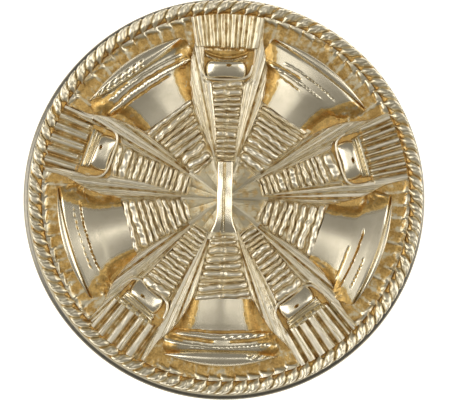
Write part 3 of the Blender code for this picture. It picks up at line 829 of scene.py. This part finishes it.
bm = bmesh.new()
cup_middle = (CUP_START + CUP_END) / 2
cup_half = (CUP_END - CUP_START) / 2
for direction, details in zip(mouth_directions, CUPS):

    def cup(along, across):
        swing = math.sin(across * math.pi / 2)
        length = math.sin((2.0 * along - 1.0) * math.pi / 2)
        side = details.half_width * (1.0 - 0.10 * length * length) * swing
        distance = cup_middle + cup_half * length
        distance += details.shift + details.tilt * side - RIM_BOW * swing * swing * max(-length, 0.0)
        barrel = domed(length, 3.2, 1 / 2.4)
        crown = domed(swing, 3.2, 1 / 2.6)
        height = CUP_HEIGHT * (0.55 + 0.33 * barrel + 0.12 * length) * crown
        out = distance - cup_middle - details.shift - details.dimple_out
        dent = math.hypot((side - details.dimple_aside) / DIMPLE_OVAL, out) / DIMPLE
        height -= DIMPLE_DEPTH * max(1.0 - dent * dent, 0.0)
        foot = eased(0.0, 0.12, barrel)
        foot = foot if length < 0.0 else 0.6 + 0.4 * foot
        # Painted reflection: the dimple is dulled to a dark brown to stand for a dark reflection there.
        shine = foot * eased(0.25, 0.70, crown) * eased(0.2, 0.9, dent)
        return on_arm(direction, distance, side + details.aside, height), shine, (side, distance, 0.0)

    strike(bm, 56, 60, cup)

    def rim(along, across):
        swing = math.sin(across * math.pi / 2)
        side = (details.half_width + RIM_LAP) * swing * (0.94 + 0.06 * along)
        start = CUP_END + details.shift - 0.07 * MM
        distance = start + (RIM_END - start) * along + details.tilt * side * (1.0 - along)
        distance += details.bow * swing * swing
        rolled = wave(2.0 * min(along * 1.4, 1.0))
        crown = domed(swing, 3.0, 1 / 3.0)
        sunk = eased(details.sunk_from - 0.15, details.sunk_from, along)
        height = RIM_HEIGHT * crown * (0.68 + 0.32 * rolled) * (1.0 - 0.5 * eased(0.55, 0.85, along))
        height *= 1.0 - 0.7 * sunk
        # Painted shadow: where the rim is sunk it is also dulled to brown, as the shade under the rim.
        shine = 0.70 + 0.30 * rolled - 0.2 * eased(0.8, 1.0, abs(swing)) - 0.9 * sunk
        return on_arm(direction, distance, side + details.aside, height), shine, (side, distance, 0.0)

    strike(bm, 24, 36, rim)
struck(bm, "mouthpiece_cups", gilt_bright)

# A fine line bounds the pocket in which each cup lies. It runs up from one spoke, round two corners
# and down to the other spoke, as the graver left it.
ARCH_HALF = 0.12 * MM
ARCH_HEIGHT = 0.34 * MM
ARCH_INNER = 7.53 * MM
ARCH_OUTER = 8.90 * MM
ARCH_SIDE = 1.48 * MM
ARCH_SPREAD = 0.22 * MM
ARCH_POWER = 5.0

# Its darker brown paints the spokes' grooves and the fans' valleys darker, partly as painted shade.
gilt_cut = gilt(
    "gilt_cut", PALE_GILT, stretch=9.0, grain_size=0.06 * MM, cut=0.7, smooth=0.40, matte=0.48,
    dull=(ORANGE, GROOVE_BROWNS_AND_SHADE[1]),
)
bm = bmesh.new()
for direction, details in zip(mouth_directions, CUPS):

    def arch(along, across):
        turn = math.pi * (0.02 + 0.96 * along)
        reach = abs(math.sin(turn)) ** (2 / ARCH_POWER)
        side = -ARCH_SIDE * math.copysign(abs(math.cos(turn)) ** (2 / ARCH_POWER), math.cos(turn))
        top = ARCH_INNER + details.shift
        distance = ARCH_OUTER - (ARCH_OUTER - top) * reach
        side *= 1.0 + ARCH_SPREAD * (1.0 - reach) / MM
        inward = Vector((side, (distance - ARCH_OUTER) * 1.1, 0.0)).normalized()
        side += inward.x * across * ARCH_HALF
        distance += inward.y * across * ARCH_HALF
        crown = domed(across)
        point = on_arm(direction, distance, side + details.aside, ARCH_HEIGHT * (0.5 + 0.5 * crown))
        point += drift(point, size=0.4 * MM, amount=0.03 * MM)
        return point, 0.5 + 0.5 * crown, (side, distance, 0.0)

    strike(bm, 72, 6, arch)
struck(bm, "pocket_arches", gilt_cut)

# Five fans of flutes, cut with a graver between each mouthpiece and the rope. Between the round
# heads the valleys are dull and painted darker as painted shade, and some flutes have a fine line along
# them. No two fans are alike.
FLUTE_HEIGHT = 0.44 * MM
FLUTE_WANDER = 0.03 * MM
LINE_HALF = 0.05 * MM
LINE_CUT = 0.06 * MM
LEAST_ROUNDING = 0.55
# Where each fan starts, its two sides, how it spreads, how wide and deep its valleys are, its polish,
# and how far across it the valleys and the fine lines lie, in millimetres, halfway along it.
Fan = namedtuple("Fan", "start left right spread half_width depth polish valleys lines")
FANS = (
    Fan(9.34 * MM, -1.98 * MM, 2.20 * MM, 0.18, 0.11 * MM, 0.22, 0.62,
        (-1.55, -1.11, -0.76, -0.47, -0.09, 0.16, 0.54, 0.82, 1.26, 1.52, 1.96), (-1.32, 0.35, 1.05)),
    Fan(9.36 * MM, -2.12 * MM, 1.86 * MM, 0.08, 0.20 * MM, 0.95, 1.0,
        (-1.77, -1.17, -0.44, 0.32, 0.95, 1.64), (-1.45, -0.82, -0.09, 0.60, 1.25)),
    Fan(9.02 * MM, -2.05 * MM, 1.72 * MM, 0.08, 0.21 * MM, 1.0, 1.0,
        (-1.96, -1.36, -0.65, 0.07, 0.79, 1.53), (-1.02, 0.46)),
    Fan(9.02 * MM, -1.90 * MM, 2.00 * MM, 0.12, 0.16 * MM, 0.90, 1.0,
        (-1.49, -0.82, -0.13, 0.60, 1.33, 1.74), (-1.15, 0.38, 0.95)),
    Fan(9.24 * MM, -1.95 * MM, 1.88 * MM, 0.14, 0.12 * MM, 0.78, 0.95,
        (-1.58, -1.23, -0.85, -0.54, -0.13, 0.19, 0.63, 0.92, 1.30, 1.61), ()),
)

bm = bmesh.new()
for direction, details in zip(mouth_directions, FANS):
    heads = [random_cut.uniform(0.0, 0.14) * MM for _ in range(len(details.valleys) + 1)]
    edges = (details.left / MM - 0.2, *details.valleys, details.right / MM + 0.2)
    rounding = max(details.depth, LEAST_ROUNDING)

    def fan(along, across):
        distance = details.start + (ROPE_INSIDE - details.start) * along
        level = details.left + (details.right - details.left) * (across + 1.0) / 2.0
        side = level * (1.0 + details.spread * (along - 0.5))
        arc = distance - side * side / (2.0 * ROPE_INSIDE) * along
        wander = FLUTE_WANDER * lumpy((level, 0.4 * distance, direction * MM), 0.5 * MM)
        valley = max(1.0 - abs(level + wander - at * MM) / details.half_width for at in details.valleys)
        valley = eased(0.0, 0.9, max(valley, 0.0)) * details.depth
        number = sum(at * MM < level for at in details.valleys)
        middle = (edges[number] + edges[number + 1]) / 2 * MM
        round_off = (level - middle) / ((edges[number + 1] - edges[number]) / 2 * MM)
        flute = 1.0 - rounding * (1.0 - math.sqrt(max(1.0 - 0.7 * round_off * round_off, 0.0)))
        line = max([ridge(level + wander - at * MM, LINE_HALF) for at in details.lines] or [0.0])
        head = eased(heads[number], heads[number] + 0.16 * MM, distance - details.start)
        lumps = lumpy((level, 0.25 * distance, direction * MM), 0.16 * MM)
        height = FLUTE_HEIGHT * flute * (1.0 - valley) * (0.25 + 0.75 * head) - LINE_CUT * line
        height = max(height + 0.03 * MM * lumps, LEAST_HEIGHT)
        point = on_arm(direction, arc, side, height)
        # The valleys and the low start of each flute are dulled: partly dull gilding, partly painted shade.
        shine = 0.98 - 0.75 * valley - 0.25 * line + 0.15 * lumps
        return point, shine * details.polish * (0.6 + 0.4 * head), (distance, side, direction * MM)

    strike(bm, 34, 110, fan)
struck(bm, "fans", gilt_cut)

# Ten spokes, long wedges beside the mouthpieces that run out thin to the rope. Deep grooves and fine
# wires are drawn along them with a graver, and beside the cup they give way to its pocket.
SPOKE_HEIGHT = 0.33 * MM
SPOKE_LIFT = 0.10 * MM
LIFT_END = 3.2 * MM
SPOKE_GROOVE = 0.13 * MM
GROOVE_HALF = 0.07 * MM
SPOKE_WIRE = 0.06 * MM
EDGE_FALL = 0.12 * MM
EDGE_BEAD = 0.07 * MM
# The spoke's two edges, in degrees from its arm as they are seen from the design's centre.
Edge = namedtuple("Edge", "along inner outer")
SPOKE_EDGES = (
    Edge(1.40 * MM, 13.0, 15.5),
    Edge(2.35 * MM, 12.0, 16.2),
    Edge(2.70 * MM, 11.0, 16.6),
    Edge(3.80 * MM, 9.0, 18.4),
    Edge(4.60 * MM, 8.3, 19.8),
    Edge(5.60 * MM, 7.9, 20.2),
    Edge(6.60 * MM, 7.7, 19.8),
    Edge(7.30 * MM, 7.8, 18.8),
    Edge(7.66 * MM, 10.2, 18.3),
    Edge(8.20 * MM, 10.6, 17.2),
    Edge(8.86 * MM, 10.2, 15.8),
    Edge(9.50 * MM, 9.6, 13.9),
    Edge(10.20 * MM, 9.4, 12.1),
    Edge(11.60 * MM, 9.6, 10.9),
)
# Where the deep grooves of each arm's two spokes lie, the clockwise spoke first, in the same degrees.
SPOKE_GROOVES = (
    ((15.6,), (13.5,)),
    ((10.9, 16.6), (14.3, 18.8)),
    ((10.5, 16.3), (9.5, 16.0)),
    ((10.2, 17.3), (9.9, 14.9)),
    ((10.2, 14.1, 16.8), (11.5, 17.9)),
)

bm = bmesh.new()
spoke_start = SPOKE_EDGES[0].along
for direction, grooves in zip(mouth_directions, SPOKE_GROOVES):
    for hand, deep in zip((-1, 1), grooves):
        wires = [(random_cut.uniform(8.0, 19.5), random_cut.uniform(0.022, 0.045) * MM) for _ in range(18)]
        slants = [random_cut.uniform(-1.5, 1.5) for _ in wires]
        weights = [random_cut.uniform(0.3, 1.0) for _ in wires]

        def spoke(along, across):
            distance = spoke_start + (SPOKE_EDGES[-1].along - spoke_start) * along
            inner, outer = through(SPOKE_EDGES, distance)
            turned_by = inner + (outer - inner) * (across + 1.0) / 2.0
            arc = math.radians(1.0) * distance
            cut = max(ridge((turned_by - place) * arc, GROOVE_HALF) for place in deep)
            fine = sum(
                weight * ridge((turned_by - place - slant * (along - 0.5)) * arc, size)
                for (place, size), slant, weight in zip(wires, slants, weights)
            )
            edge_fall = ridge(abs(across) - 1.0, 0.10)
            bead = ridge(abs(across) - 0.86, 0.09)
            height = SPOKE_HEIGHT + SPOKE_LIFT * (1.0 - eased(spoke_start, LIFT_END, distance))
            height += EDGE_BEAD * bead - EDGE_FALL * edge_fall
            height -= SPOKE_GROOVE * cut + SPOKE_WIRE * min(fine, 1.2)
            height *= 1.0 - 0.20 * eased(0.8, 1.0, along)
            radius = min(distance, ROPE_INSIDE - 0.08 * MM)
            point = on_design(radius, direction + hand * math.radians(turned_by), height)
            point += drift(point, size=1.2 * MM, amount=0.02 * MM)
            # The deep grooves and fine wires are dulled to the darker brown, partly as painted shade.
            shine = 0.95 - 0.45 * cut - 0.20 * min(fine, 1.0) - 0.3 * edge_fall + 0.15 * bead
            return point, shine, (distance, turned_by * arc, hand * MM)

        strike(bm, 130, 64, spoke)
struck(bm, "spokes", gilt_cut)

# The hub, where the bugles cross: a low cone of flat facets with a ridge to each spoke, left as the
# graver cut it.
HUB_TOP = 0.52 * MM
HUB_RIDGE = 0.34 * MM
HUB_VALLEY = 0.20 * MM
HUB_SIDES = 160
HUB_RINGS = 14
HUB_SKIRT = 0.34 * MM
EDGE_LINE = 0.03 * MM
FACETS = 4 * BUGLES
HUB_GREY = (0.66, 0.585, 0.43, 1.0)

gilt_hub = gilt("gilt_hub", HUB_GREY, stretch=9.0, grain_size=0.05 * MM, cut=2.8, smooth=0.38, matte=0.46)
bm = bmesh.new()
hub_edge = HUB_RADIUS + HUB_SKIRT
outline = [(hub_edge * ring / HUB_RINGS, GROUND_Z) for ring in range(HUB_RINGS + 1)]
turned(bm, outline + [(hub_edge, GROUND_Z - SUNK), (0.0, GROUND_Z - SUNK)], HUB_SIDES)
facet_lifts = [random_cut.uniform(-0.035, 0.035) * MM for _ in range(FACETS)]
polish = bm.verts.layers.float.new("polish")
grain = bm.verts.layers.float_vector.new("grain")
for vertex in bm.verts:
    radius = math.hypot(vertex.co.x, vertex.co.y)
    angle = math.atan2(vertex.co.y, vertex.co.x)
    place = (angle - BELL_DIRECTION) / (2 * math.pi) * FACETS
    fold = 1.0 - abs((place % 2.0) - 1.0)
    outward = radius / HUB_RADIUS
    if vertex.co.z > GROUND_Z - SUNK / 2:
        rim = HUB_RIDGE + (HUB_VALLEY - HUB_RIDGE) * (1.0 - fold)
        lift = EDGE_LINE * ridge(1.0 - fold, 0.16)
        lift += facet_lifts[int(place) % FACETS] * ridge((place % 1.0) - 0.5, 0.5)
        vertex.co.z = GROUND_Z + HUB_TOP + (rim - HUB_TOP + lift) * outward
    vertex[polish] = 0.52 + 0.44 * ridge(1.0 - fold, 0.25)
    vertex[grain] = (radius, angle * radius, 0.0)
    vertex.co += STRIKE_SHIFT
struck(bm, "hub", gilt_hub, sharp=math.radians(12))

# The plain tube of the upright bugle, which lies over the others. It has two smooth faces and a thin
# groove between them, and its foot widens over the bell below.
TUBE_REACH = 2.30 * MM
TUBE_HALF_WIDTH = 0.54 * MM
TUBE_HEIGHT = 0.86 * MM
TUBE_GROOVE = 0.12 * MM
GROOVE_ASIDE = 0.10
# Places along the tube, and its half width and height there, as shares of the sizes above.
Station = namedtuple("Station", "along half_width crest")
TUBE_STATIONS = (
    Station(-0.93, 1.75, 0.72),
    Station(-0.72, 1.30, 0.88),
    Station(-0.42, 1.03, 0.98),
    Station(0.60, 1.0, 1.0),
    Station(1.0, 1.0, 0.94),
)

gilt_tube = gilt("gilt_tube", CHAMPAGNE, stretch=8.0, grain_size=0.06 * MM, cut=0.4, smooth=0.24, matte=0.40)
bm = bmesh.new()


def plain_tube(along, across):
    share = TUBE_STATIONS[0].along + (TUBE_STATIONS[-1].along - TUBE_STATIONS[0].along) * along
    half_width, crest = through(TUBE_STATIONS, share)
    side = TUBE_HALF_WIDTH * half_width * across
    slope = 1.0 - 0.14 * abs(across) ** 1.1
    wall = eased(0.0, 0.16, 1.0 - abs(across))
    height = TUBE_HEIGHT * crest * slope * (0.35 + 0.65 * wall)
    height -= TUBE_GROOVE * ridge(across - GROOVE_ASIDE, 0.15)
    point = on_arm(BELL_DIRECTION + math.pi, TUBE_REACH * share, side, height)
    point += drift(point, size=0.8 * MM, amount=0.03 * MM)
    return point, 1.0 - 0.5 * ridge(across - GROOVE_ASIDE, 0.18), (share * TUBE_REACH, side, 0.0)


strike(bm, 60, 30, plain_tube)
struck(bm, "cross_tube", gilt_tube)

# The post: a brass pin with a turned foot, silver-soldered to the back of the blank and gilt with it.
# It is pointed to pass through the cloth.
POST_RADIUS = 0.6 * MM
TIP_ROUND = 0.1 * MM
POST_POINT = 0.7 * MM
TIP_ABOVE_BASE = 0.6 * MM
FOOT_RADIUS = 1.6 * MM
FOOT_THICKNESS = 0.35 * MM
SOLDER_ROUND = 0.12 * MM
POST_SIDES = 48
POST_POLISH = 0.9

bm = bmesh.new()
foot_z = BACK_Z - FOOT_THICKNESS
post = [(0.0, TIP_ABOVE_BASE)]
post += rounded(TIP_ROUND, TIP_ABOVE_BASE + TIP_ROUND, TIP_ROUND, -math.pi / 2, 3)
post += [(POST_RADIUS, TIP_ABOVE_BASE + POST_POINT), (POST_RADIUS, foot_z - SOLDER_ROUND)]
post += [
    (POST_RADIUS + SOLDER_ROUND * (1 - math.cos(turn)), foot_z - SOLDER_ROUND * (1 - math.sin(turn)))
    for turn in [math.pi / 8 * step for step in range(1, 5)]
]
post += rounded(FOOT_RADIUS - SOLDER_ROUND, foot_z + SOLDER_ROUND, SOLDER_ROUND, -math.pi / 2, 3)
post += [(FOOT_RADIUS, BACK_Z + SUNK), (0.0, BACK_Z + SUNK)]
turned(bm, post, POST_SIDES)
evenly_polished(bm, POST_POLISH)
struck(bm, "post", gilt_tube)

# The clutch: plain satin brass, turned from bar, with a drum that the pin stands on, a wider flange
# against the cloth and a bore for the post.
DRUM_RADIUS = 4.8 * MM
FLANGE_THICKNESS = 1.0 * MM
FLANGE_RADIUS = (clutch_high.x - clutch_low.x) / 2
CLUTCH_EDGE = 0.3 * MM
BORE_RADIUS = 0.9 * MM
CLUTCH_SIDES = 160
SATIN_BRASS = (0.62, 0.44, 0.20, 1.0)
TARNISH = (0.40, 0.27, 0.11, 1.0)

brass, start, shader = begun("satin_brass")
place = start.add("ShaderNodeTexCoord", output=3)
rings = start.add("ShaderNodeMapping", {}, {"Vector": place, "Scale": (1.0, 1.0, 24.0)})
turning = start.add("ShaderNodeTexNoise", {}, {"Vector": rings, "Scale": 900.0, "Detail": 4.0})
cloud = start.add("ShaderNodeTexNoise", {}, {"Vector": place, "Scale": 420.0, "Detail": 3.0})
mixed((cloud - 0.5) * 1.5 + 0.35, SATIN_BRASS, TARNISH).into(shader, "Base Color")
(0.26 + turning * 0.16).into(shader, "Roughness")
bump = start.add("ShaderNodeBump", {}, {"Strength": 0.25, "Distance": 0.02 * MM, "Height": turning})
bump.into(shader, "Normal")
shader.inputs["Metallic"].default_value = 1.0

bm = bmesh.new()
drum_top = clutch_high.z - FLANGE_THICKNESS
flange_edge = FLANGE_RADIUS - CLUTCH_EDGE
drum_edge = DRUM_RADIUS - CLUTCH_EDGE
clutch_outline = [(BORE_RADIUS, clutch_low.z)]
clutch_outline += rounded(drum_edge, clutch_low.z + CLUTCH_EDGE, CLUTCH_EDGE, -math.pi / 2, 4)
clutch_outline += [(DRUM_RADIUS, drum_top - CLUTCH_EDGE / 2), (DRUM_RADIUS + CLUTCH_EDGE / 2, drum_top)]
clutch_outline += rounded(flange_edge, drum_top + CLUTCH_EDGE, CLUTCH_EDGE, -math.pi / 2, 4)
clutch_outline += rounded(flange_edge, clutch_high.z - CLUTCH_EDGE, CLUTCH_EDGE, 0.0, 4)
clutch_outline += [(BORE_RADIUS, clutch_high.z)]
turned(bm, clutch_outline, CLUTCH_SIDES)
clutch = dressed(bm, "clutch_shell", brass, sharp=math.radians(30))
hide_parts("clutch")

# The studio: a pale table top in a dim room, with three soft boxes on the left and three on the right.
# On each side one is near the camera's line, one is broad, and one stands low at the side.
FLOOR_HALF = 1.5
FLOOR_PALE = (0.93, 0.93, 0.92, 1.0)
FLOOR_GLOW = 0.75

bm = bmesh.new()
bmesh.ops.create_grid(bm, x_segments=1, y_segments=1, size=FLOOR_HALF)
mesh = bpy.data.meshes.new("floor")
bm.to_mesh(mesh)
bm.free()
table, _, shader = begun("pale_table")
shader.inputs["Base Color"].default_value = FLOOR_PALE
shader.inputs["Roughness"].default_value = 0.7
shader.inputs["Emission Color"].default_value = FLOOR_PALE
shader.inputs["Emission Strength"].default_value = FLOOR_GLOW
mesh.materials.append(table)
floor = placed("floor", mesh)

BOX_DISTANCE = 0.50
# How far each soft box is tilted from straight above and towards which side, in degrees, its size in
# metres and its power in watts.
SoftBox = namedtuple("SoftBox", "name tilt toward width height power")
SOFT_BOXES = (
    SoftBox("near_left", 14, 188, 0.13, 0.15, 0.047),
    SoftBox("broad_left", 23, 175, 0.24, 0.30, 0.060),
    SoftBox("side_left", 66, 181, 0.32, 0.80, 1.90),
    SoftBox("near_right", 10, 17, 0.07, 0.09, 0.025),
    SoftBox("broad_right", 18, 4, 0.20, 0.26, 0.056),
    SoftBox("side_right", 66, 9, 0.32, 0.80, 1.50),
)
subject = Vector((0.0, 0.0, GROUND_Z))
for box in SOFT_BOXES:
    tilt, toward = math.radians(box.tilt), math.radians(box.toward)
    aim = Vector((math.sin(tilt) * math.cos(toward), math.sin(tilt) * math.sin(toward), math.cos(tilt)))
    light = bpy.data.lights.new(box.name, "AREA")
    light.shape = "RECTANGLE"
    light.size, light.size_y = box.width, box.height
    light.energy = box.power
    lamp = placed(box.name, light)
    lamp.location = subject + aim * BOX_DISTANCE
    lamp.rotation_euler = aim.to_track_quat("Z", "Y").to_euler()

ROOM = (0.235, 0.227, 0.208, 1.0)
world = bpy.data.worlds.new("room")
world.use_nodes = True
background = world.node_tree.nodes["Background"]
background.inputs["Color"].default_value = ROOM
background.inputs["Strength"].default_value = 1.0
bpy.context.scene.world = world

# The camera looks straight down on the disc with a long lens, as the photograph does, and is turned
# a little, because the disc lay a little turned.
CAMERA_ABOVE = 0.40
IMAGE_WIDTH = 450
PX_PER_MM = 15.81
DISC_CENTRE_PX = Vector((223.94, 199.53))
IMAGE_CENTRE_PX = Vector((225.0, 200.0))
ROLL = math.radians(1.4)

camera_data = bpy.data.cameras.new("camera")
camera_data.sensor_width = 36.0
camera_data.lens = camera_data.sensor_width * CAMERA_ABOVE / (IMAGE_WIDTH / PX_PER_MM * MM)
camera_data.clip_start = 0.01
offset = (IMAGE_CENTRE_PX - DISC_CENTRE_PX) / PX_PER_MM * MM
camera = placed("camera", camera_data)
camera.location = (offset.x, -offset.y, GROUND_Z + CAMERA_ABOVE)
camera.rotation_euler = (0.0, 0.0, ROLL)
bpy.context.scene.camera = camera
bpy.context.scene.view_settings.view_transform = "Standard"
